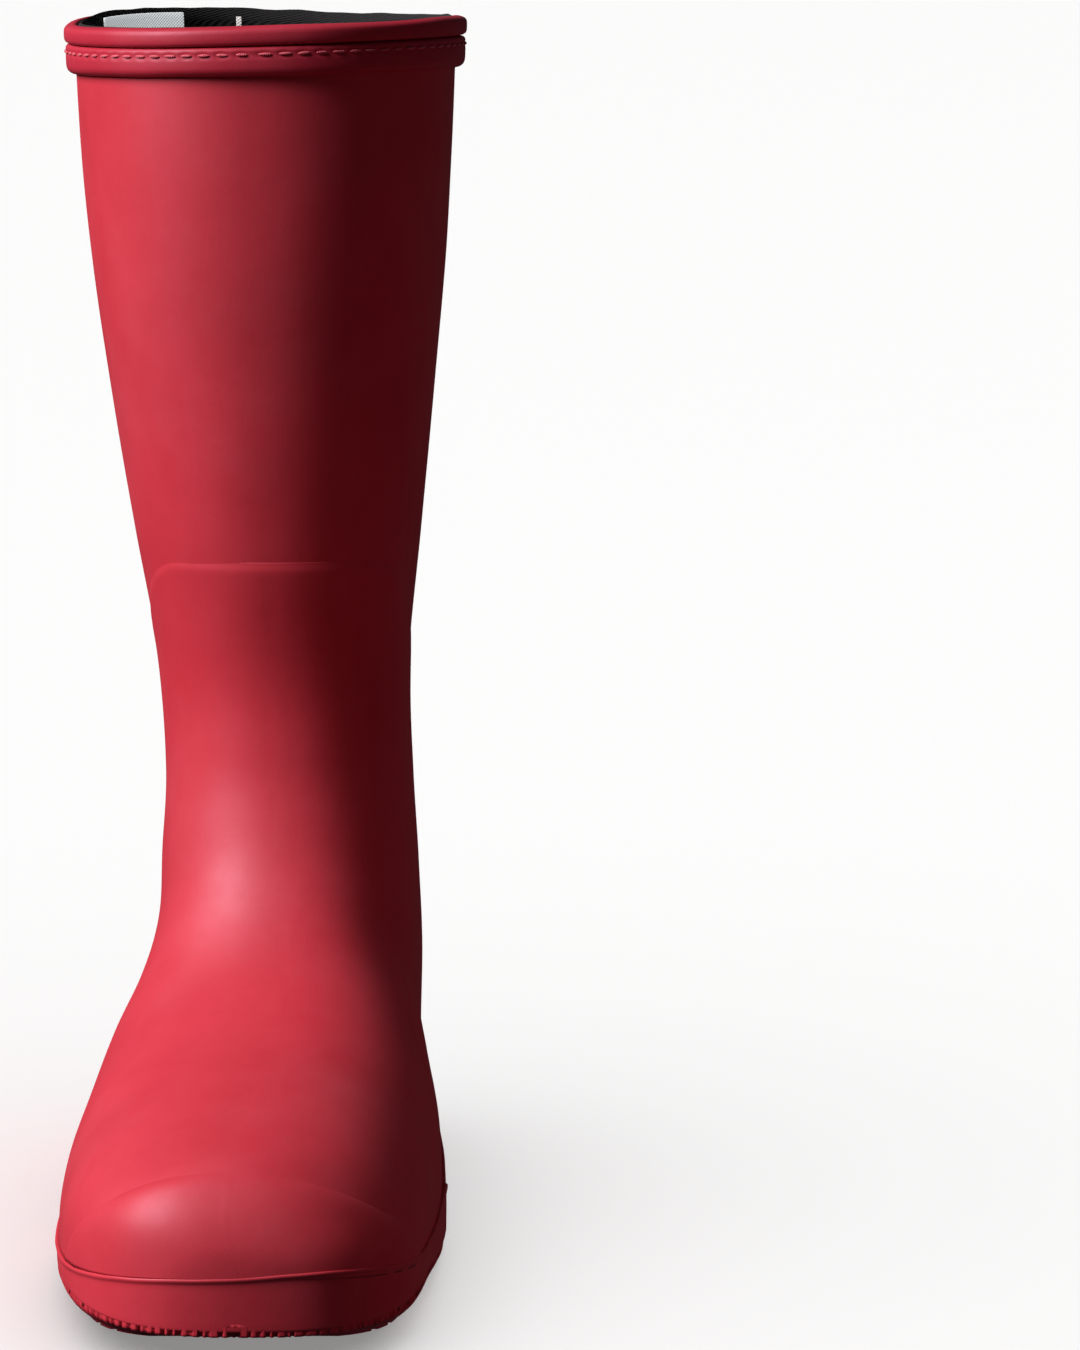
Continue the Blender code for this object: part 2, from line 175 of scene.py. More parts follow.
shape = {
    "originAlong": 135.4,
    "footLength": 270.0,
    "heelHeight": 11.0,
    "heelEnd": 74.0,
    "toeSpring": 10.0,
    "springStart": 185.0,
    "lug": 4.0,
    "plate": 3.0,
    "sidewall": 9.0,
    "sideRoundness": 2.2,
    "heelSlope": 70,
    # how much the top edge tilts to the sides, more in front and behind, and the rows it fades over
    "collarLean": 1.0,
    "leanInFront": 0.7,
    "leanBehind": 3.0,
    "leanRows": 1.6,
    "collarHalfWidth": 55,
    # the soft crest across the toe: its height, row, skew and width in rows
    "crest": 1.2,
    "crestRow": 13.45,
    "crestSkew": 0.7,
    "crestWidth": 0.55,
    # how far the toe's crown leans to the outer side, and the height and rows over which it grows
    "crownShift": 4.0,
    "crownHeight": 16,
    "crownRow": 11.2,
    "crownRows": 2.2,
    "toeStart": 11,
    # front along and height, back along and height, outer and inner half width, middle,
    # widest place, squareness in front and behind
    "rings": [
        (131, 339.6, 5, 338.4, 54.6, 54.6, 0.0, 0.50, 2.15, 2.15),
        (129, 290, 3, 286, 52.2, 52.2, 0.1, 0.50, 2.15, 2.15),
        (124, 240, 3, 236, 47.2, 47.2, 0.9, 0.50, 2.15, 2.15),
        (117, 195, 5, 188, 41.5, 41.5, 2.1, 0.50, 2.15, 2.15),
        (109.5, 158, 11, 145, 36.4, 36.4, 3.5, 0.50, 2.15, 2.15),
        (109.5, 132, 13, 108, 35.7, 35.7, 4.7, 0.50, 2.2, 2.3),
        (113, 114, 8, 73, 37.6, 36.6, 5.4, 0.50, 2.5, 2.6),
        (119, 99, 1, 38, 38.9, 37.0, 5.8, 0.52, 2.9, 3.2),
        (128, 86.5, 6, -4, 44.0, 36.8, 5.8, 0.60, 2.9, 4.0),
        (142, 76, 52, -10, 50.4, 39.9, 5.8, 0.56, 2.8, 4.0),
        (164, 69, 100, -12, 55.6, 43.8, 5.8, 0.42, 2.8, 4.5),
        (192, 64, 152, -12, 58.6, 44.6, 5.8, 0.32, 2.75, 4.5),
        (219, 59, 196, -11, 55.8, 43.4, 4.8, 0.34, 2.65, 4.5),
        (244, 53.5, 228, -9, 48.0, 41.6, 3.3, 0.38, 2.5, 4.5),
        (262, 46.5, 249, -6, 36.4, 35.4, 1.8, 0.42, 2.4, 4.5),
        (270, 35, 262, -2, 22.6, 24.8, 1.0, 0.48, 2.3, 4.0),
        (271.5, 20, 268, 4, 7.0, 9.0, 1.6, 0.50, 2.0, 3.0),
    ],
}
mm = 0.001


def smoothStep(x):
    x = min(max(x, 0.0), 1.0)
    return x * x * (3 - 2 * x)


def plateBottom(along):
    heel = shape["heelHeight"] * (1 - smoothStep((along - shape["heelEnd"]) / shape["heelSlope"]))
    start = shape["springStart"]
    toe = shape["toeSpring"] * max(0.0, (along - start) / (shape["footLength"] - start)) ** 2
    return shape["lug"] + heel + toe


def plateTop(along):
    return plateBottom(along) + shape["plate"]


def lipHeight(along):
    return plateTop(along) + shape["sidewall"]


@lru_cache(maxsize=None)
def ringValues(u):
    rings = shape["rings"]
    last = len(rings) - 1
    i = min(max(int(u), 0), last - 1)
    t = u - i
    p0, p1, p2, p3 = rings[max(i - 1, 0)], rings[i], rings[i + 1], rings[min(i + 2, last)]
    first, second = (1 if i == 0 else 2), (1 if i == last - 1 else 2)
    h1, h2, h3, h4 = 2 * t**3 - 3 * t**2 + 1, t**3 - 2 * t**2 + t, 3 * t**2 - 2 * t**3, t**3 - t**2
    return [h1 * b + h2 * (c - a) / first + h3 * c + h4 * (d - b) / second
            for a, b, c, d in zip(p0, p1, p2, p3)]


def ringPoint(u, angle):
    fa, fh, ba, bh, outer, inner, middle, widest, frontPower, backPower = ringValues(u)
    ca, ch = ba + widest * (fa - ba), bh + widest * (fh - bh)
    c, s = cos(angle), sin(angle)
    ea, eh, power = (fa, fh, frontPower) if c > 0 else (ba, bh, backPower)
    reach = abs(c) ** (2 / power)
    side = (inner if s > 0 else outer) * abs(s) ** (2 / shape["sideRoundness"])
    side = side if s > 0 else -side
    if u > shape["toeStart"]:
        # the crest is further back on the inner side
        away = (u - shape["crestRow"] + shape["crestSkew"] * s) / shape["crestWidth"]
        lift = shape["crest"] * exp(-away * away) * max(c, 0.0) ** 0.5
        eh, ea = eh + lift, ea + 0.4 * lift
    along, height = ca + (ea - ca) * reach, ch + (eh - ch) * reach
    if u > shape["toeStart"] and c > 0:
        over = smoothStep((height - lipHeight(along)) / shape["crownHeight"]) * c**1.5
        side -= shape["crownShift"] * over * smoothStep((u - shape["crownRow"]) / shape["crownRows"])
    # the mouth is a little twisted: its front climbs to the inner side and its back falls
    twist = 1.0 + (shape["leanInFront"] if c > 0 else shape["leanBehind"]) * c
    fade = 1 - smoothStep(u / shape["leanRows"])
    lean = shape["collarLean"] * twist * side / shape["collarHalfWidth"] * fade
    return middle + side, along, height + lean


def bisect(low, high, above):
    for _ in range(36):
        mid = (low + high) / 2
        low, high = (mid, high) if above(mid) else (low, mid)
    return (low + high) / 2


def overLip(u, angle):
    _, along, height = ringPoint(u, angle)
    return height > lipHeight(along)


heelRow = bisect(6.5, 8.5, lambda u: overLip(u, pi))
toeRow = bisect(14.5, 16.0, lambda u: overLip(u, 0))


@lru_cache(maxsize=None)
def lipAngle(u, side):
    if u <= heelRow:
        return pi
    return bisect(0.0, pi, lambda angle: overLip(u, side * angle))


def skin(u, v):
    # v runs from -1 at the outer edge, over the front, to 1 at the inner edge
    x, along, height = ringPoint(u, v * lipAngle(u, 1 if v > 0 else -1))
    return Vector((x, shape["originAlong"] - along, height))


def ringAt(u, angle, depth):
    # a point on the ring, moved out along the surface normal
    def spot(row, turn):
        x, along, height = ringPoint(row, turn)
        return Vector((x, shape["originAlong"] - along, height))

    runU = spot(u + 0.01, angle) - spot(u - 0.01, angle)
    runA = spot(u, angle + 0.02) - spot(u, angle - 0.02)
    return (spot(u, angle) + depth * runU.cross(runA).normalized()) * mm


def skinAt(u, v, depth):
    if u >= toeRow:
        u, v = toeRow, 0.0
    return ringAt(u, v * lipAngle(u, 1 if v > 0 else -1), depth)


def rowScale(u, v):
    a, b = max(u - 0.02, 0.0), min(u + 0.02, toeRow)
    return (skin(b, v) - skin(a, v)).length / (b - a)


def evenRows(start, stop, spacing):
    # rows about one spacing apart, closer where the sidewall starts to cut the rings
    rows, u = [start], start
    while u < stop - 1e-6:
        scale = (rowScale(u, 0.0) + rowScale(u, 1.0) + rowScale(u, -1.0)) / 3
        u = min(u + spacing / max(scale, 8.0), stop)
        if stop - u < 0.4 * spacing / max(scale, 8.0):
            u = stop
        rows.append(u)
    if start < heelRow < stop:
        rows = [row for row in rows if not heelRow - 0.04 < row < heelRow + 0.2]
        rows += [heelRow + extra for extra in (0, 0.01, 0.03, 0.06, 0.1, 0.15, 0.2)]
    if stop >= toeRow:
        rows = [row for row in rows if row < toeRow - 0.3]
        rows += [toeRow - extra for extra in (0.28, 0.23, 0.18, 0.13, 0.09, 0.055, 0.03, 0.012, 0)]
    return sorted(rows)


def wobble(point, size, seed):
    # a slow, shallow unevenness, as hand-laid rubber has
    return noise.noise(Vector(point) / (size * mm) + Vector((seed, seed * 1.7, -seed)))


# building helpers

def mappedGrid(place, across, along, uvSize=(1.0, 1.0), closed=True):
    # a flat grid whose points are moved on to the boot by place(i, j)
    bm = bmesh.new()
    uv = bm.loops.layers.uv.new("weave")
    made = bmesh.ops.create_grid(bm, x_segments=across, y_segments=along, size=0.5, calc_uvs=True)
    for face in bm.faces:
        for loop in face.loops:
            loop[uv].uv = ((loop.vert.co.x + 0.5) * uvSize[0], (loop.vert.co.y + 0.5) * uvSize[1])
    for vert in made["verts"]:
        i, j = round((vert.co.x + 0.5) * across), round((vert.co.y + 0.5) * along)
        vert.co = place(i, j)
    if closed:
        bmesh.ops.remove_doubles(bm, verts=bm.verts, dist=2e-6)
    return bm


def giveWall(bm, thickness, edge=0.0, segments=2):
    bmesh.ops.solidify(bm, geom=bm.faces[:], thickness=thickness * mm)
    if edge:
        rim = [e for e in bm.edges if e.is_manifold and e.calc_face_angle(0) > 0.9]
        bmesh.ops.bevel(bm, geom=rim, offset=edge * mm, offset_type="OFFSET", segments=segments,
                        affect="EDGES", profile=0.5, material=-1, clamp_overlap=True)


def joinInto(bm, part):
    # adds one bmesh to another and frees it
    mesh = bpy.data.meshes.new("part")
    part.to_mesh(mesh)
    part.free()
    bm.from_mesh(mesh)
    bpy.data.meshes.remove(mesh)


def addPiece(name, bm, material, replaced, body=None, recalculate=True):
    # a piece without a body of its own has its transform baked into its mesh
    if recalculate:
        bmesh.ops.recalc_face_normals(bm, faces=bm.faces)
    for face in bm.faces:
        face.smooth = True
    mesh = bpy.data.meshes.new(name)
    bm.to_mesh(mesh)
    bm.free()
    mesh.materials.append(material)
    obj = linkTo(bpy.context.scene, bpy.data.objects.new(name, mesh))
    if body:
        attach(obj, body)
    else:
        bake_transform(obj)
    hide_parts(*replaced)
    print(name, len(mesh.polygons), "faces")
    return obj


# materials

def addNode(tree, kind, inputs=None, **settings):
    node = tree.nodes.new(kind)
    for key, value in settings.items():
        setattr(node, key, value)
    for socket, value in (inputs or {}).items():
        if isinstance(value, bpy.types.NodeSocket):
            tree.links.new(value, node.inputs[socket])
        else:
            node.inputs[socket].default_value = value
    return node


def startMaterial(name, **values):
    material = bpy.data.materials.new(name)
    material.use_nodes = True
    shader = material.node_tree.nodes["Principled BSDF"]
    for socket, value in values.items():
        shader.inputs[socket].default_value = value
    return material, material.node_tree, shader


def noiseAt(tree, vector, scale, detail=3.0, roughness=0.5):
    inputs = {"Vector": vector, "Scale": scale, "Detail": detail, "Roughness": roughness}
    return addNode(tree, "ShaderNodeTexNoise", inputs).outputs[0]


def spread(tree, value, low, high, start=0.3, stop=0.7):
    inputs = {"Value": value, "From Min": start, "From Max": stop, "To Min": low, "To Max": high}
    return addNode(tree, "ShaderNodeMapRange", inputs).outputs[0]


def blendInto(tree, factor, colour, second):
    inputs = {0: factor, 6: colour, 7: (*second, 1)}
    return addNode(tree, "ShaderNodeMix", inputs, data_type="RGBA").outputs[2]


def twoColours(tree, factor, first, second):
    return blendInto(tree, factor, (*first, 1), second)


def bumpOf(tree, height, strength, distance, before=None):
    inputs = {"Height": height, "Strength": strength, "Distance": distance}
    if before:
        inputs["Normal"] = before
    return addNode(tree, "ShaderNodeBump", inputs).outputs[0]


def feed(tree, shader, **sockets):
    for socket, value in sockets.items():
        tree.links.new(value, shader.inputs[socket.replace("_", " ")])


rubberFinish = {
    "light": (0.62, 0.034, 0.055),
    "deep": (0.54, 0.022, 0.038),
    # the pale haze that natural rubber gets
    "bloom": (0.64, 0.16, 0.20),
    "bloomScale": 9.0,
    "patchScale": 22.0,
    "smooth": 0.49,
    "dull": 0.60,
    "smearScale": 60.0,
    "slowScale": 120.0,
    "grainScale": 1500.0,
    "grain": 0.12,
    "shader": {"Specular IOR Level": 0.55, "Specular Tint": (1.0, 0.78, 0.95, 1), "Coat Weight": 0.25,
               "Coat Roughness": 0.75, "Coat IOR": 1.4},
}


def rubberMaterial(name, **changes):
    # satin natural rubber: soft colour drift, uneven gloss, a fine moulded grain
    finish = dict(rubberFinish, **changes)
    material, tree, shader = startMaterial(name, **finish["shader"])
    coords = addNode(tree, "ShaderNodeTexCoord").outputs["Object"]
    patches = noiseAt(tree, coords, finish["patchScale"], 4.0)
    mottle = noiseAt(tree, coords, finish["patchScale"] * 14, 3.0)
    colour = twoColours(tree, spread(tree, patches, 0.0, 1.0), finish["light"], finish["deep"])
    colour = blendInto(tree, spread(tree, mottle, 0.0, 0.35, 0.55, 0.8), colour, finish["deep"])
    bloom = noiseAt(tree, coords, finish["bloomScale"], 5.0, 0.6)
    colour = blendInto(tree, spread(tree, bloom, 0.0, 0.22, 0.45, 0.75), colour, finish["bloom"])
    smears = noiseAt(tree, coords, finish["smearScale"], 5.0, 0.6)
    gloss = spread(tree, smears, finish["smooth"], finish["dull"], 0.25, 0.75)
    slow = noiseAt(tree, coords, finish["slowScale"], 2.0)
    fine = noiseAt(tree, coords, finish["grainScale"], 2.0)
    normal = bumpOf(tree, slow, 0.10, 0.0008)
    normal = bumpOf(tree, fine, finish["grain"], 0.00012, normal)
    feed(tree, shader, Base_Color=colour, Roughness=gloss, Normal=normal)
    return material


def weaveHeight(tree, coords, across, along, turn=0.0):
    # crossing threads: two wave sets, one over the other in turn
    mapped = addNode(tree, "ShaderNodeMapping", {"Vector": coords, "Rotation": (0, 0, turn)}).outputs[0]
    parts = addNode(tree, "ShaderNodeSeparateXYZ", {0: mapped})
    waves = []
    for output, pitch in ((0, across), (1, along)):
        inputs = {0: parts.outputs[output], 1: 2 * pi / pitch}
        scaled = addNode(tree, "ShaderNodeMath", inputs, operation="MULTIPLY").outputs[0]
        waves.append(addNode(tree, "ShaderNodeMath", {0: scaled}, operation="SINE").outputs[0])
    product = addNode(tree, "ShaderNodeMath", {0: waves[0], 1: waves[1]}, operation="MULTIPLY").outputs[0]
    return addNode(tree, "ShaderNodeMath", {0: product, 1: 0.5, 2: 0.5}, operation="MULTIPLY_ADD").outputs[0]


def clothMaterial(name, light, deep, pitch, sheen=0.3, rough=0.9, strength=0.6, depth=0.0004,
                  source="UV", turn=0.0):
    # a weave of two thread pitches, with a light fuzz and some unevenness of colour
    material, tree, shader = startMaterial(name, **{"Sheen Weight": sheen, "Sheen Roughness": 0.5})
    coords = addNode(tree, "ShaderNodeTexCoord").outputs[source]
    weave = weaveHeight(tree, coords, pitch[0], pitch[1], turn)
    fuzz = noiseAt(tree, coords, 900.0, 3.0)
    drift = noiseAt(tree, coords, 30.0, 3.0)
    colour = twoColours(tree, spread(tree, weave, 0.0, 1.0, 0.15, 0.85), deep, light)
    colour = blendInto(tree, spread(tree, drift, 0.0, 0.35), colour, deep)
    normal = bumpOf(tree, fuzz, 0.25, depth * 0.6)
    normal = bumpOf(tree, weave, strength, depth, normal)
    gloss = spread(tree, fuzz, rough - 0.12, rough + 0.05)
    feed(tree, shader, Base_Color=colour, Roughness=gloss, Normal=normal)
    return material


def grainMaterial(name, light, deep, scale, rough, metallic=0.0, stretch=(1, 1, 1), strength=0.3,
                  depth=0.0004):
    # foam, fibre board and brushed metal: one coarse and one fine grain
    material, tree, shader = startMaterial(name, Metallic=metallic)
    coords = addNode(tree, "ShaderNodeTexCoord").outputs["Object"]
    coords = addNode(tree, "ShaderNodeMapping", {"Vector": coords, "Scale": stretch}).outputs[0]
    coarse, fine = noiseAt(tree, coords, scale, 5.0, 0.6), noiseAt(tree, coords, scale * 9, 3.0)
    colour = twoColours(tree, spread(tree, coarse, 0.0, 1.0), light, deep)
    colour = blendInto(tree, spread(tree, fine, 0.0, 0.4), colour, deep)
    feed(tree, shader, Base_Color=colour, Roughness=spread(tree, coarse, rough - 0.08, rough + 0.08),
         Normal=bumpOf(tree, fine, strength, depth))
    return material


redRubber = rubberMaterial("redRubber")
trimRubber = rubberMaterial("redTrimRubber", smooth=0.45, dull=0.58, grain=0.2)
collarRubber = rubberMaterial("redCollarRubber", light=(0.50, 0.018, 0.042), deep=(0.42, 0.012, 0.030),
                              smooth=0.46, dull=0.60, grain=0.25)
soleRubber = rubberMaterial("redSoleRubber", light=(0.60, 0.026, 0.045), deep=(0.52, 0.018, 0.032),
                            smooth=0.50, dull=0.64, grain=0.45)
# the lining is near-black: a dark knit, darkened further as painted shade for the inside of the boot
liningKnitAndPaintedShade = clothMaterial("darkKnitAndPaintedShade", (0.012, 0.010, 0.012), (0.003, 0.003, 0.004), (0.0022, 0.0026),
                           0.05, 0.95)
labelWeave = clothMaterial("greyLabelWeave", (0.72, 0.76, 0.77), (0.54, 0.58, 0.59), (0.0009, 0.0012),
                           0.15, 0.85)
tapeWeave = clothMaterial("paleTapeWeave", (0.66, 0.64, 0.62), (0.42, 0.40, 0.39), (0.0009, 0.0013),
                          0.15, 0.85)
# the thread is lighter and pinker than the rubber: its own red plus a painted highlight on stitches that lie
# in the lip's shade
threadRedAndPaintedHighlight = clothMaterial("redThreadAndPaintedHighlight", (0.80, 0.11, 0.16), (0.56, 0.05, 0.08), (0.0007, 0.0007), 0.3, 0.6,
                          0.7, 0.0002, "Object", 0.6)
coverCloth = clothMaterial("footbedCloth", (0.035, 0.035, 0.038), (0.008, 0.008, 0.010),
                           (0.0018, 0.0018), 0.4)
stiffCanvas = clothMaterial("stiffCanvas", (0.42, 0.38, 0.32), (0.26, 0.23, 0.19), (0.0014, 0.0014),
                            0.2, 0.92, 0.6, 0.0004, "Object", 0.5)
foamGrey = grainMaterial("denseFoam", (0.10, 0.10, 0.11), (0.05, 0.05, 0.055), 260.0, 0.9, strength=0.6)
boardFibre = grainMaterial("fibreBoard", (0.36, 0.27, 0.18), (0.22, 0.15, 0.09), 190.0, 0.86)
springSteel = grainMaterial("springSteel", (0.58, 0.58, 0.59), (0.44, 0.44, 0.46), 90.0, 0.34, 1.0,
                            (1.0, 0.04, 1.0), 0.25, 0.0001)
print("materials")

# the rubber of the leg and heel

legSettings = {"top": 0.16, "bottom": 7.2, "columns": 176, "spacing": 2.2, "wall": 1.9, "unevenness": 0.22}


def columnsBetween(start, stop, count):
    return [start + (stop - start) * k / count for k in range(count + 1)]


def makeLeg():
    rows = evenRows(legSettings["top"], legSettings["bottom"], legSettings["spacing"])
    columns = columnsBetween(-1, 1, legSettings["columns"])

    def place(i, j):
        base = skinAt(rows[i], columns[j], 0)
        bend = legSettings["unevenness"] * wobble(base, 38, 3.1) * smoothStep((rows[i] - 0.3) / 0.8)
        return skinAt(rows[i], columns[j], bend) if abs(columns[j]) < 1 else base

    bm = mappedGrid(place, len(rows) - 1, len(columns) - 1)
    giveWall(bm, legSettings["wall"])
    addPiece("legRubber", bm, redRubber, ("leg_shell", "ankle_shell", "quarters"))


makeLeg()

# the vamp sheet laid over the foot and up the front of the ankle

vampSettings = {
    # distance round from the front line, and the row where the sheet starts there
    "edge": [(0.0, 3.15), (0.16, 3.15), (0.24, 3.16), (0.30, 3.22), (0.36, 3.34), (0.43, 3.54), (0.50, 3.84),
             (0.57, 4.28), (0.64, 4.76), (0.72, 5.18), (0.80, 5.46), (0.90, 5.64), (1.0, 5.70)],
    "columns": [(0.0, 0.46, 34), (0.46, 0.84, 32), (0.84, 1.0, 12)],
    "edgeSteps": [0.0, 0.25, 0.5, 0.8, 1.15, 1.6, 2.2, 3.0, 4.2],
    "spacing": 2.2,
    "shared": 6.6,
    "rise": 0.5,
    "feather": 3.4,
    "fullInside": 99.0,
    "wall": 0.75,
    # below this row no leg rubber lies under the sheet, so it takes its full thickness
    "fullFrom": 7.3,
    "fullWall": 2.6,
    "unevenness": 0.2,
}


def throughPoints(table, x):
    # a smooth curve through (x, y) pairs
    last = len(table) - 1
    k = next((n for n in range(last) if x <= table[n + 1][0]), last - 1)
    (x1, y1), (x2, y2) = table[k], table[k + 1]
    x0, y0 = table[k - 1] if k else (2 * x1 - x2, y2 if x1 == 0 else 2 * y1 - y2)
    x3, y3 = table[k + 2] if k + 2 <= last else (2 * x2 - x1, 2 * y2 - y1)
    m1, m2 = (y2 - y0) / (x2 - x0), (y3 - y1) / (x3 - x1)
    t, w = (x - x1) / (x2 - x1), x2 - x1
    return ((2 * t**3 - 3 * t**2 + 1) * y1 + (t**3 - 2 * t**2 + t) * w * m1
            + (3 * t**2 - 2 * t**3) * y2 + (t**3 - t**2) * w * m2)


def slantAt(edge, v):
    # how far one row must go, in rows, to be one millimetre inside the edge
    a, b = max(v - 0.004, -1.0), min(v + 0.004, 1.0)
    line = skin(edge(b), b) - skin(edge(a), a)
    down = skin(edge(v) + 0.02, v) - skin(edge(v), v)
    share = max(down.normalized().cross(line.normalized()).length, 0.15)
    return 0.02 / (down.length * share)


def mirroredColumns(parts):
    half = [0.0]
    for start, stop, count in parts:
        half += [start + (stop - start) * (k + 1) / count for k in range(count)]
    return [-v for v in reversed(half[1:])] + half


def overlaySheet(settings, edge, stop, columns):
    # a sheet with a soft top edge that follows edge(v), down to the row stop
    steps = settings["edgeSteps"]
    shared = evenRows(settings["shared"], stop, settings["spacing"])
    count = max(int((settings["shared"] - edge(0)) * rowScale(edge(0) + 1, 0.0) / settings["spacing"]), 3)
    grid = []
    for v in columns:
        top, slant = edge(v), slantAt(edge, v)
        near = [top + step * slant for step in steps]
        span = shared[0] - near[-1]
        grid.append(near + [near[-1] + span * k / count for k in range(1, count)] + shared)

    last = len(grid[0]) - 1

    def place(i, j):
        # down the outside, then back up the inside; the two meet where the sidewall holds them
        under = i > last
        row = 2 * last + 1 - i if under else i
        u, v = grid[j][row % (last + 1)], columns[j]
        # the distance inside the edge shapes its soft step
        inside = steps[row] if row < len(steps) else settings["fullInside"]
        rise = settings["rise"] * smoothStep(0.12 + inside / settings["feather"])
        if 0 < abs(v) < 1:
            rise += settings["unevenness"] * wobble(skinAt(u, v, 0), 30, 7.3) * smoothStep(inside / 6)
        if under and not (u > heelRow and abs(v) == 1):
            extra = settings["fullWall"] - settings["wall"]
            rise -= settings["wall"] * min(0.3 + inside, 1)
            rise -= extra * smoothStep((u - settings["fullFrom"]) / 0.4)
        return skinAt(u, v, rise)

    return mappedGrid(lambda i, j: place(i % (2 * last + 2), j), 2 * last + 2, len(columns) - 1)


def makeVamp():
    columns = mirroredColumns(vampSettings["columns"])

    def edge(v):
        return throughPoints(vampSettings["edge"], abs(v))

    bm = overlaySheet(vampSettings, edge, toeRow, columns)
    addPiece("vampRubber", bm, redRubber, ("vamp", "ankle_overlay"))


makeVamp()

# toe cap and heel patch

capSettings = dict(vampSettings, rise=1.15, feather=7.0, wall=0.5, fullWall=0.5, unevenness=0.12, spacing=1.8,
                   shared=14.05)
capSettings["edge"] = [(0.0, 13.55), (0.3, 13.5), (0.6, 13.25), (0.85, 12.8), (1.0, 12.5)]
heelSettings = {
    # distance from the back line, in half turns, and the row where the patch starts there
    "edge": [(0.0, 6.30), (0.08, 6.32), (0.15, 6.42), (0.22, 6.68), (0.28, 7.08), (0.33, 7.55), (0.37, 8.1)],
    "reach": 0.37,
    "columns": 96,
    "steps": [0.0, 0.02, 0.04, 0.065, 0.10, 0.15, 0.22, 0.31, 0.42, 0.54, 0.66, 0.78, 0.90, 1.0],
    "rise": 1.65,
    "edgeRise": 0.8,
    "wall": 0.8,
}


def makeToeCap():
    columns = mirroredColumns([(0.0, 1.0, 62)])
    bm = overlaySheet(capSettings, lambda v: throughPoints(capSettings["edge"], abs(v)), toeRow, columns)
    addPiece("toeCap", bm, redRubber, ("toe_cap",), "foot")


def makeHeelPatch():
    # one piece round the back; each column runs down to the sidewall
    steps, count = heelSettings["steps"], heelSettings["columns"]
    last = len(steps) - 1
    lines = []
    for j in range(count + 1):
        angle = pi * (1 + heelSettings["reach"] * (2 * j / count - 1))
        foot = bisect(6.5, 10.0, lambda u: overLip(u, angle)) + 0.02
        top = min(throughPoints(heelSettings["edge"], abs(1 - angle / pi)), foot - 0.1)
        lines.append((angle, top, foot))

    def place(i, j):
        i = i % (2 * last + 2)
        under = i > last
        row = 2 * last + 1 - i if under else i
        angle, top, foot = lines[j]
        side = min(j, count - j) / 3
        edge = min(steps[row] * 12, side + 0.1, 1.0)
        rise = heelSettings["edgeRise"] + (heelSettings["rise"] - heelSettings["edgeRise"]) * smoothStep(edge)
        if under:
            rise -= heelSettings["wall"] * min(steps[row] * 20, 1.0)
        return ringAt(top + (foot - top) * steps[row], angle, rise)

    bm = mappedGrid(place, 2 * last + 2, count)
    addPiece("heelPatch", bm, redRubber, ("heel_patch",), "foot")


makeToeCap()
makeHeelPatch()

# the collar: rolled lip, band and stitches

collarSettings = {
    "around": 400,
    # drop below the top and distance out from the skin, all the way round the section
    "lip": [(5.2, -0.9), (4.0, -1.0), (2.4, -1.0), (1.2, -1.0), (0.7, -0.95), (0.3, -0.8), (0.06, -0.45),
            (0.0, 0.0), (0.05, 0.5), (0.16, 1.1), (0.36, 1.8), (0.7, 2.4), (1.2, 2.78), (2.0, 2.92),
            (3.0, 2.95), (4.0, 2.9), (4.6, 2.65), (4.95, 2.1), (5.1, 1.3), (5.2, -0.2)],
    "band": [(5.3, -0.1), (5.25, 0.9), (5.35, 1.7), (5.6, 2.3), (6.1, 2.7), (6.7, 2.6), (7.3, 2.5),
             (7.9, 2.6), (8.4, 2.8), (9.0, 2.85), (9.8, 2.85), (10.7, 2.85), (11.5, 2.75), (12.2, 2.45),
             (12.7, 1.95), (13.05, 1.3), (13.2, 0.7), (13.25, 0.1), (12.2, -0.1)],
    "millimetresPerRow": 47.5,
    "perimeter": 372.0,
    "unevenness": 0.22,
    "pucker": 0.16,
    "stitchPitch": 5.0,
    "stitchLength": 3.5,
    "stitchRadius": 0.42,
    "stitchDrop": 7.3,
    "stitchOut": 2.72,
}


def sectionRing(name, section, material, replaced, tweak):
    # a closed section carried round the collar
    around, perRow = collarSettings["around"], collarSettings["millimetresPerRow"]

    def place(i, j):
        drop, out = section[i % len(section)]
        v = -1 + 2 * (j % around) / around
        drop, out = tweak(drop, out, v)
        # rows start at the top edge, so the part above it is lifted straight up
        return skinAt(max(drop, 0.0) / perRow, v, out) + Vector((0, 0, -min(drop, 0.0) * mm))

    bm = mappedGrid(place, len(section), around)
    return addPiece(name, bm, material, replaced, "leg")


def makeCollar():
    perimeter = collarSettings["perimeter"]
    pitch = perimeter / round(perimeter / collarSettings["stitchPitch"])

    def lipTweak(drop, out, v):
        # a hand-rolled rim: its crown and its width waver
        spot = skin(0, v) * mm
        crown = 0.35 * wobble(spot, 30, 1.3) * (drop < 3)
        return drop + crown, out + collarSettings["unevenness"] * wobble(spot, 17, 4.4)

    def bandTweak(drop, out, v):
        # the stitch channel puckers between stitches, and the lower edge wavers
        spot = skin(0.2, v) * mm
        pucker = collarSettings["pucker"] * cos(2 * pi * v * perimeter / (2 * pitch)) * (6.5 < drop < 8.0)
        edge = 0.5 * wobble(spot, 26, 9.1) * (drop > 11)
        return drop + edge, out + pucker + collarSettings["unevenness"] * wobble(spot, 20, 6.2)

    sectionRing("collarLip", collarSettings["lip"], collarRubber, ("collar_lip",), lipTweak)
    sectionRing("collarBand", collarSettings["band"], collarRubber, ("collar_band",), bandTweak)
    makeStitches(perimeter, pitch)


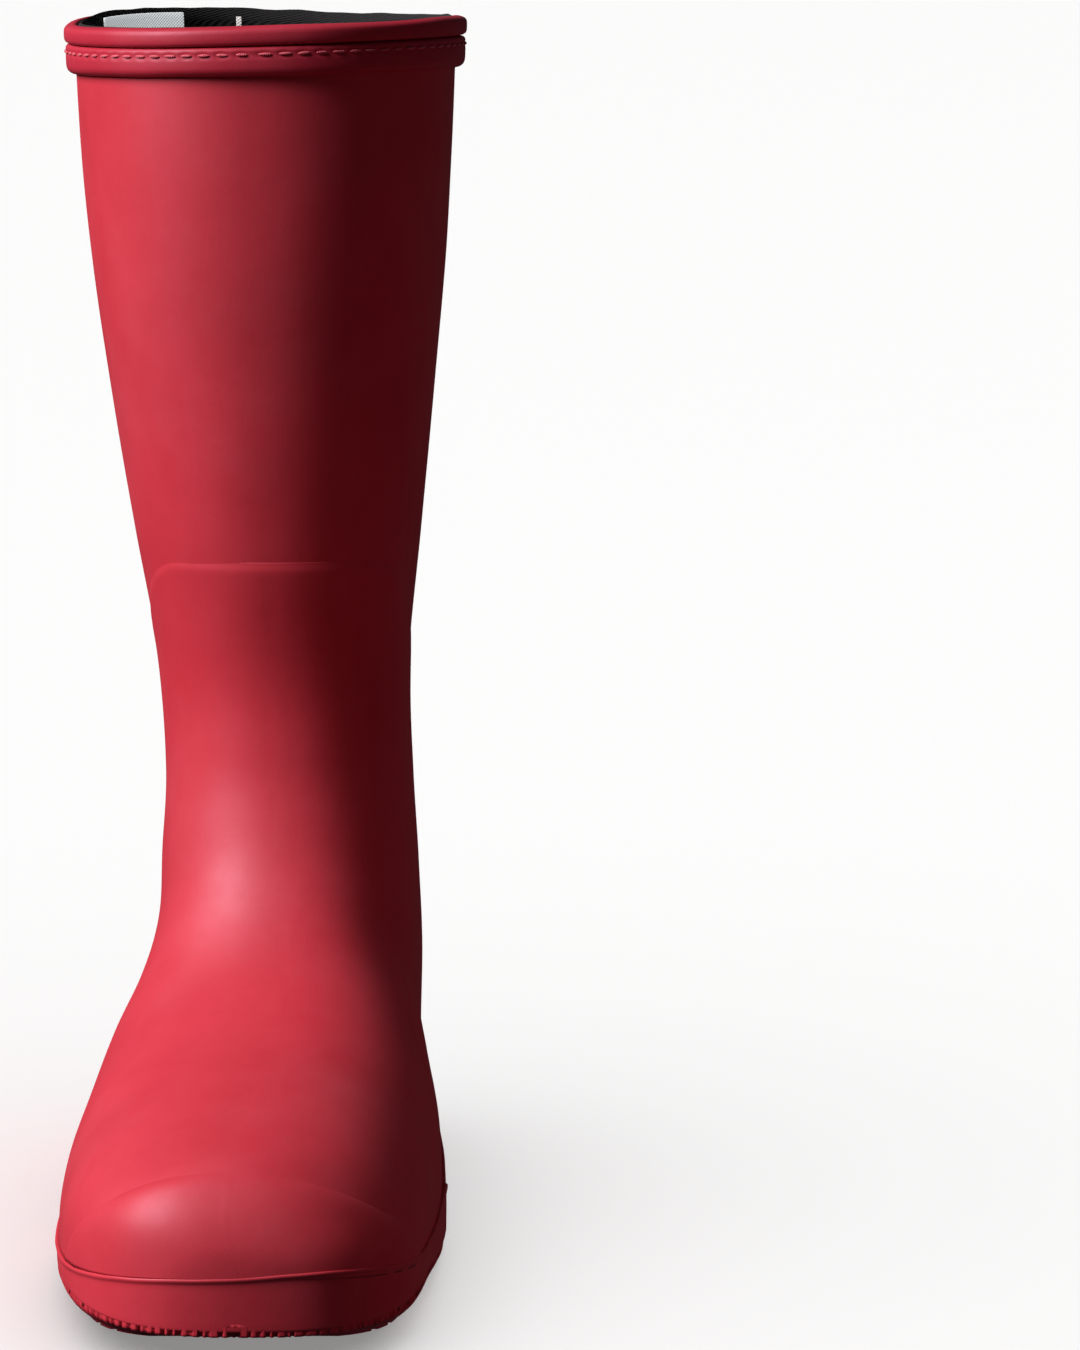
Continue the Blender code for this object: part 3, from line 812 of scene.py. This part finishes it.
def makeStitches(perimeter, pitch):
    # short rounded stitches laid in the channel at the top of the band
    random = Random(4)
    bm = bmesh.new()
    count = round(perimeter / pitch)
    u = collarSettings["stitchDrop"] / collarSettings["millimetresPerRow"]
    for k in range(count):
        v = -1 + 2 * (k + 0.5) / count
        middle = skinAt(u, v, collarSettings["stitchOut"] + random.uniform(-0.08, 0.08))
        run = (skinAt(u, v + 0.01, 0) - skinAt(u, v - 0.01, 0)).normalized()
        run.z += random.uniform(-0.06, 0.06)
        out = (skinAt(u, v, 2) - skinAt(u, v, 0)).normalized()
        up = run.cross(out).normalized()
        length = collarSettings["stitchLength"] * random.uniform(0.92, 1.06) / 2 * mm
        radius = collarSettings["stitchRadius"] * mm
        turn = Matrix((run.normalized() * length, out * radius, up * radius)).transposed().to_4x4()
        turn.translation = middle
        bmesh.ops.create_uvsphere(bm, u_segments=10, v_segments=8, radius=1.0,
                                  matrix=turn @ Matrix.Rotation(pi / 2, 4, "Y"))
    addPiece("collarStitches", bm, threadRedAndPaintedHighlight, ("collar_stitch_thread",), "leg")


makeCollar()

# lining, label and rear tape

liningSettings = {
    "top": 0.012,
    "columns": 120,
    "spacing": 3.4,
    "wall": 1.0,
    "legDepth": -2.3,
    "footDepth": -3.5,
    "footFrom": 5.2,
    "turnOver": 1.15,
    "unevenness": 0.25,
    "standing": 1.0,
    "uvSize": (0.60, 0.33),
}
labelSettings = {"rows": (0.012, 0.75), "sides": (-0.83, -0.60), "depth": -4.05, "wall": 0.55}
tapeSettings = {"rows": (0.03, 2.0), "sides": (-0.944, -0.935), "depth": -4.05, "wall": 0.55}
patchSpacing = 1.6


def makeLining():
    top = liningSettings["top"]
    rows = [top, top + 0.008, top + 0.018, top + 0.03]
    rows += evenRows(top + 0.045, toeRow, liningSettings["spacing"])
    columns = columnsBetween(-1, 1, liningSettings["columns"])
    legDepth, footDepth = liningSettings["legDepth"], liningSettings["footDepth"]

    def place(i, j):
        depth = legDepth + (footDepth - legDepth) * smoothStep((rows[i] - liningSettings["footFrom"]) / 0.6)
        depth -= liningSettings["unevenness"] * abs(wobble(skinAt(rows[i], columns[j], 0), 24, 5.5))
        # at the mouth the cloth turns over the edge behind the rolled lip
        depth += liningSettings["turnOver"] * (1 - smoothStep(rows[i] / 0.05))
        spot = skinAt(rows[i], columns[j], depth)
        # at the back its uneven edge stands above the lip
        back = smoothStep((abs(columns[j]) - 0.42) / 0.25) * (1 - smoothStep((rows[i] - top) / 0.03))
        spot.z += (liningSettings["standing"] + 0.5 * wobble(spot, 9, 2.8)) * back * mm
        return spot

    bm = mappedGrid(place, len(rows) - 1, len(columns) - 1, liningSettings["uvSize"])
    giveWall(bm, liningSettings["wall"], 0.3, 2)
    addPiece("textileLining", bm, liningKnitAndPaintedShade, ("leg_lining", "ankle_lining", "foot_lining"))


def makePatch(name, settings, material, replaced):
    # a strip or patch of woven cloth cemented to the lining
    rows = evenRows(*settings["rows"], patchSpacing)
    start, stop = settings["sides"]
    columns = columnsBetween(start, stop, max(4, int((stop - start) * 180 / patchSpacing)))

    def place(i, j):
        lift = 0.22 * wobble(skinAt(rows[i], columns[j], 0), 15, 8.8)
        return skinAt(rows[i], columns[j], settings["depth"] + lift)

    height, width = len(rows) * patchSpacing * mm, (stop - start) * 0.18
    bm = mappedGrid(place, len(rows) - 1, len(columns) - 1, (height, width))
    giveWall(bm, settings["wall"], 0.15, 2)
    addPiece(name, bm, material, replaced, "leg")


makeLining()
makePatch("sizeLabel", labelSettings, labelWeave, ("size_label",))
makePatch("rearTape", tapeSettings, tapeWeave, ("rear_seam_tape",))

# the outline of the sole

outlineCount = 2200
outlineSamples = 600


def makeOutline():
    # the top edge of the sidewall in plan, heel to toe on the outer side and back on the inner side
    dense = []
    for v, order in ((-1, 1), (1, -1)):
        side = []
        for k in range(outlineSamples + 1):
            # closer together at the heel and toe, where the outline turns
            turn = ((1 - cos(pi * k / outlineSamples)) / 2) ** 1.3
            side.append(skin(heelRow + (toeRow - heelRow) * turn, v).to_2d())
        dense += side[::order][:-1]
    lengths = [0.0]
    for a, b in zip(dense, dense[1:] + dense[:1]):
        lengths.append(lengths[-1] + (b - a).length)
    points, k = [], 0
    for step in range(outlineCount):
        wanted = lengths[-1] * step / outlineCount
        while lengths[k + 1] < wanted:
            k += 1
        share = (wanted - lengths[k]) / (lengths[k + 1] - lengths[k])
        points.append(dense[k].lerp(dense[(k + 1) % len(dense)], share))
    placed = []
    for k, point in enumerate(points):
        run = points[(k + 8) % outlineCount] - points[k - 8]
        placed.append((point, Vector((run.y, -run.x)).normalized()))
    return placed, lengths[-1]


outline, outlineLength = makeOutline()
turnOut = 1 if outline[outlineCount // 4][1].x < 0 else -1


def edgePlace(k, out, height):
    # a point on the outline moved out; height is a number or a function of the distance along
    point, normal = outline[k % outlineCount]
    moved = point + turnOut * out * normal
    along = shape["originAlong"] - moved.y
    return Vector((moved.x, moved.y, height(along))) * mm


# the sidewall strip with its raised bead

soleSettings = {
    "treadStart": 98.0,
    "treadRamp": 3.0,
    "pitch": 11.5,
    "groove": 3.2,
    "grooveDepth": 2.8,
    "notchPitch": 2.3,
    "notchWidth": 1.0,
    "notchDepth": 1.3,
    "notchHeight": 2.4,
    # the heel's cuts are shallower
    "heelNotches": 0.3,
    # height of the visible lower edge round the front, and the rise of the edge behind the waist
    "edgeHeight": 10.4,
    "waistRise": 3.0,
    # share of the raise and inset of the rounded underside, from the tread out to the wall
    "edge": [(0.0, -14.0), (0.0, -9.0), (0.12, -6.5), (0.35, -3.8), (0.62, -1.7), (0.85, -0.5), (1.0, 0.0)],
    "heelGrooves": (18.0, 29.5, 62.0),
}


def edgeRaise(along):
    # how far the sole's outer edge stands above its tread: level round the front, low behind
    front = smoothStep((along - 150) / 75)
    level = max(soleSettings["edgeHeight"] - plateBottom(along) + shape["lug"], 0.0)
    waist = soleSettings["waistRise"] * smoothStep((along - 80) / 30)
    return 0.3 + level * front + waist * (1 - front)


def treadBottom(along):
    length = soleSettings["treadRamp"]
    ramp = smoothStep((along - soleSettings["treadStart"] + length) / length)
    return plateBottom(along) - shape["lug"] * ramp


foxingSettings = {
    # distance out and height above the plate's top, round the section
    "section": [(-2.5, -2.4), (0.3, -2.4), (0.75, -2.35), (0.88, -2.2), (0.93, -1.8), (0.95, -0.5),
                (0.97, 1.2), (1.0, 3.0), (1.0, 4.6), (0.98, 6.0), (0.98, 6.9), (1.02, 7.35), (1.15, 7.7),
                (1.35, 8.0), (1.45, 8.35), (1.38, 8.7), (1.2, 8.95), (0.95, 9.05), (0.5, 9.0), (0.1, 8.85),
                (-2.5, 8.7)],
    # the plain wall ends at this height and the bead starts; the wall is this tall
    "wallTop": 6.9,
    "wallHeight": 9.3,
    # the bead climbs by this much towards the inner side
    "climb": 2.2,
    "climbFrom": -12,
    "climbOver": 50,
    "overEdge": 1.3,
    "jointAt": 0.735,
    "jointStep": 0.6,
    "jointLength": 16,
}


def climb(x):
    share = smoothStep((x - foxingSettings["climbFrom"]) / foxingSettings["climbOver"])
    return foxingSettings["climb"] * share


def makeFoxing():
    section, wallTop = foxingSettings["section"], foxingSettings["wallTop"]
    lap = foxingSettings["jointLength"]
    # every fourth point of the outline is enough for the plain strip
    around = outlineCount // 4

    def place(i, j):
        out, up = section[i % len(section)]
        k = 4 * (j % around)
        point = outline[k][0]
        spot = Vector((point.x, point.y, 0)) * mm
        if out > 0:
            out += 0.22 * wobble(spot, 22, 2.2)
        if up > 7.0:
            up += 0.35 * wobble(spot, 40, 5.2) + 0.12 * wobble(spot, 9, 1.2)
        # the end of the strip is lapped over its start
        gone = (foxingSettings["jointAt"] - k / outlineCount) * outlineLength
        if out > 0 and 0 < gone < lap:
            out += foxingSettings["jointStep"] * (1 - gone / lap)

        def height(along):
            # the lower edge follows the raised edge of the sole; the bead climbs on the inner side
            share = min(max((wallTop - up) / foxingSettings["wallHeight"], 0.0), 1.0)
            low = plateBottom(along) - shape["lug"] + edgeRaise(along) + foxingSettings["overEdge"]
            top = plateTop(along) + wallTop + climb(point.x)
            return top + up - wallTop if up > wallTop else low * share + top * (1 - share)

        return edgePlace(k, out, height)

    bm = mappedGrid(place, len(section), around)
    addPiece("sidewallStrip", bm, trimRubber, ("foxing_strip",), "foot")


makeFoxing()

# outsole and heel

def makeNotches(seed, share):
    # how deep and how high the edge is cut at each outline point: short cuts at uneven distances,
    # shallower on the inner side of the toe
    random = Random(seed)
    depth, reach = [0.0] * outlineCount, [0.6] * outlineCount
    step = outlineLength / outlineCount
    at = 2.0
    while at < outlineLength - 3:
        width = soleSettings["notchWidth"] * random.uniform(0.7, 1.5)
        deep, high = random.uniform(0.25, 1.0), random.uniform(0.2, 1.0)
        for k in range(int((at - width) / step), int((at + width) / step) + 1):
            away = abs(k * step - at) / (width / 2)
            worn = 1 - 0.55 * smoothStep((outline[k % outlineCount][0].x - 8) / 22)
            cut = share * deep * worn * (1 - smoothStep((away - 0.5) / 0.8))
            depth[k % outlineCount] = max(depth[k % outlineCount], cut)
            reach[k % outlineCount] = high * worn
        at += soleSettings["notchPitch"] * random.uniform(0.6, 1.5)
    return depth, reach


def edgeWall(bottom, top, notches, first, last, out):
    # the side of a sole piece: a rounded underside, a notched edge and a plain wall above it
    rounds = soleSettings["edge"]
    depth, reach = notches
    deepest, notchHeight = soleSettings["notchDepth"], soleSettings["notchHeight"]

    def place(i, j):
        k = first + j
        cut = depth[k % outlineCount] * deepest
        above = i - len(rounds)
        if above < 0:
            share, inset = rounds[i]
            moved = out + inset - cut * (inset > -3)
            return edgePlace(k, moved, lambda along: bottom(along) + share * edgeRaise(along))
        if above > 2:
            return edgePlace(k, out - 3.0 * (above == 4), top)
        lift = (0.25 * notchHeight, reach[k % outlineCount] * notchHeight, notchHeight + 0.4)[above]
        inset = (cut, 0.7 * cut, 0.0)[above]
        return edgePlace(k, out - inset, lambda along: bottom(along) + edgeRaise(along) + lift)

    return mappedGrid(place, len(rounds) + 4, last - first, closed=first == 0 and last == outlineCount)


def widthAt(along, inset):
    # the outer and inner edge of the outline at a distance along the foot
    half = outlineCount // 2
    edges = []
    for side in (range(half + 1), range(outlineCount, half - 1, -1)):
        spots = [outline[k % outlineCount][0] for k in side]
        near = min(spots, key=lambda spot: abs(shape["originAlong"] - spot.y - along))
        edges.append(near.x)
    low, high = min(edges) + inset, max(edges) - inset
    middle = (low + high) / 2
    return min(low, middle), max(high, middle)


def crossSlab(bm, bottom, top, start, stop, grooves, inset):
    # the body of a sole piece: strips across the foot with straight grooves in its underside
    half, slope = soleSettings["groove"] / 2, 0.25
    places = set(columnsBetween(start, stop, int((stop - start) / 4)))
    for groove in grooves:
        places |= {groove - half - slope, groove - half, groove + half, groove + half + slope}
    stops = sorted(place for place in places if start <= place <= stop)
    widths = [widthAt(along, inset) for along in stops]
    across = 8

    def place(i, j):
        (low, high), along = widths[j], stops[j]
        inGroove = any(abs(along - groove) <= half + 0.01 for groove in grooves)
        height = bottom(along) + soleSettings["grooveDepth"] * inGroove
        return Vector((low + (high - low) * i / across, shape["originAlong"] - along, height)) * mm

    grid = mappedGrid(place, across, len(stops) - 1, closed=False)
    # the top face is the grid extruded up to the top height
    lifted = bmesh.ops.extrude_face_region(grid, geom=grid.faces[:])["geom"]
    for vert in (item for item in lifted if isinstance(item, bmesh.types.BMVert)):
        vert.co.z = top(shape["originAlong"] - vert.co.y / mm) * mm
    bmesh.ops.recalc_face_normals(grid, faces=grid.faces)
    joinInto(bm, grid)


def outlineSpan(stop):
    # the outline indices behind a distance along the foot, as a range that passes the heel
    half = outlineCount // 2

    def past(k):
        return shape["originAlong"] - outline[k][0].y > stop

    outer = next(k for k in range(half) if past(k))
    inner = next(k for k in range(outlineCount - 1, half, -1) if past(k))
    return inner - outlineCount, outer


def makeSole():
    notches = makeNotches(11, 1.0)
    grooves = [soleSettings["treadStart"] + soleSettings["pitch"] * k for k in range(2, 14)]
    bm = edgeWall(treadBottom, lambda along: plateBottom(along) + edgeRaise(along), notches,
                  0, outlineCount, 0.85)
    bmesh.ops.recalc_face_normals(bm, faces=bm.faces)
    crossSlab(bm, treadBottom, plateTop, 8, 262, grooves, 6.0)
    addPiece("soleTread", bm, soleRubber, ("outsole",), "foot", False)


def makeHeel():
    notches = makeNotches(5, soleSettings["heelNotches"])
    first, last = outlineSpan(shape["heelEnd"])

    def bottom(along):
        return 0.0

    def top(along):
        return plateBottom(along) - 0.2

    bm = edgeWall(bottom, top, notches, first, last, 0.75)
    bmesh.ops.recalc_face_normals(bm, faces=bm.faces)
    crossSlab(bm, bottom, top, 5, shape["heelEnd"], soleSettings["heelGrooves"], 3.5)
    addPiece("heelTread", bm, soleRubber, ("heel_block",), "foot", False)


makeSole()
makeHeel()

# the canvas stiffeners of the toe and heel

stiffSettings = {
    "depth": -2.45,
    "wall": 0.8,
    "spacing": 3.0,
    "toeRows": (13.0, toeRow),
    "heelRows": (6.0, 9.0),
    # the heel cup starts this far round from the front line
    "heelSide": 0.571,
}


def stiffSheet(bm, span, start, stop, count):
    rows, columns = evenRows(*span, stiffSettings["spacing"]), columnsBetween(start, stop, count)
    part = mappedGrid(lambda i, j: skinAt(rows[i], columns[j], stiffSettings["depth"]), len(rows) - 1, count)
    bmesh.ops.recalc_face_normals(part, faces=part.faces)
    joinInto(bm, part)


def makeStiffener(name, node, sheets):
    bm = bmesh.new()
    for sheet in sheets:
        stiffSheet(bm, *sheet)
    bmesh.ops.remove_doubles(bm, verts=bm.verts, dist=2e-6)
    bmesh.ops.recalc_face_normals(bm, faces=bm.faces)
    giveWall(bm, stiffSettings["wall"])
    addPiece(name, bm, stiffCanvas, (node,), "foot")


toeRows, heelRows, heelSide = stiffSettings["toeRows"], stiffSettings["heelRows"], stiffSettings["heelSide"]
makeStiffener("toePuff", "toe_puff", [(toeRows, -1, 1, 60)])
makeStiffener("heelCounter", "counter_stiffener",
              [(heelRows, heelSide, 1, 24), (heelRows, -1, -heelSide, 24)])

# footbed and the hidden pieces

footbedSettings = {
    "edge": -9.0,
    "bottom": 4.7,
    "top": 8.5,
    "clothTop": 9.4,
    "corner": 1.0,
    "clothCorner": 0.25,
    "across": 16,
    "dish": 0.5,
}


def makeBed(name, low, high, material, replaced, corner):
    half, across = outlineCount // 20, footbedSettings["across"]

    def place(i, j):
        # strips from the outer side to the inner side, from the heel to the toe
        k = 10 * j
        a = edgePlace(k, footbedSettings["edge"], lambda along: 0)
        b = edgePlace(outlineCount - k, footbedSettings["edge"], lambda along: 0)
        spot = a.lerp(b, i / across)
        along = shape["originAlong"] - spot.y / mm
        # a shallow cup under the heel
        dish = footbedSettings["dish"] * (1 - (2 * i / across - 1) ** 2) * (1 - smoothStep((along - 60) / 40))
        spot.z = (plateTop(along) + high - dish) * mm
        return spot

    bm = mappedGrid(place, across, half, (0.08, 0.25))
    bmesh.ops.recalc_face_normals(bm, faces=bm.faces)
    if sum(face.normal.z for face in bm.faces) < 0:
        bmesh.ops.reverse_faces(bm, faces=bm.faces)
    giveWall(bm, high - low, corner, 3)
    return addPiece(name, bm, material, replaced, "insole")


bed = makeBed("footbedFoam", footbedSettings["bottom"], footbedSettings["top"], foamGrey,
              ("footbed",), footbedSettings["corner"])
makeBed("footbedCover", footbedSettings["top"] + 0.1, footbedSettings["clothTop"], coverCloth,
        ("footbed_cloth",), footbedSettings["clothCorner"])

# pieces inside the sole keep their meshes and get better materials
hidden = {
    "insole_board": boardFibre,
    "heel_filler": foamGrey,
    "forefoot_filler": foamGrey,
    "shank": springSteel,
}
for node, material in hidden.items():
    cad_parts[node].material_slots[0].material = material
print("all pieces")


labelAndTape = bpy.data.collections.new("labelAndTape")
for name in ("sizeLabel", "rearTape"):
    labelAndTape.objects.link(bpy.data.objects[name])
bpy.data.objects["mouthLight"].light_linking.receiver_collection = labelAndTape
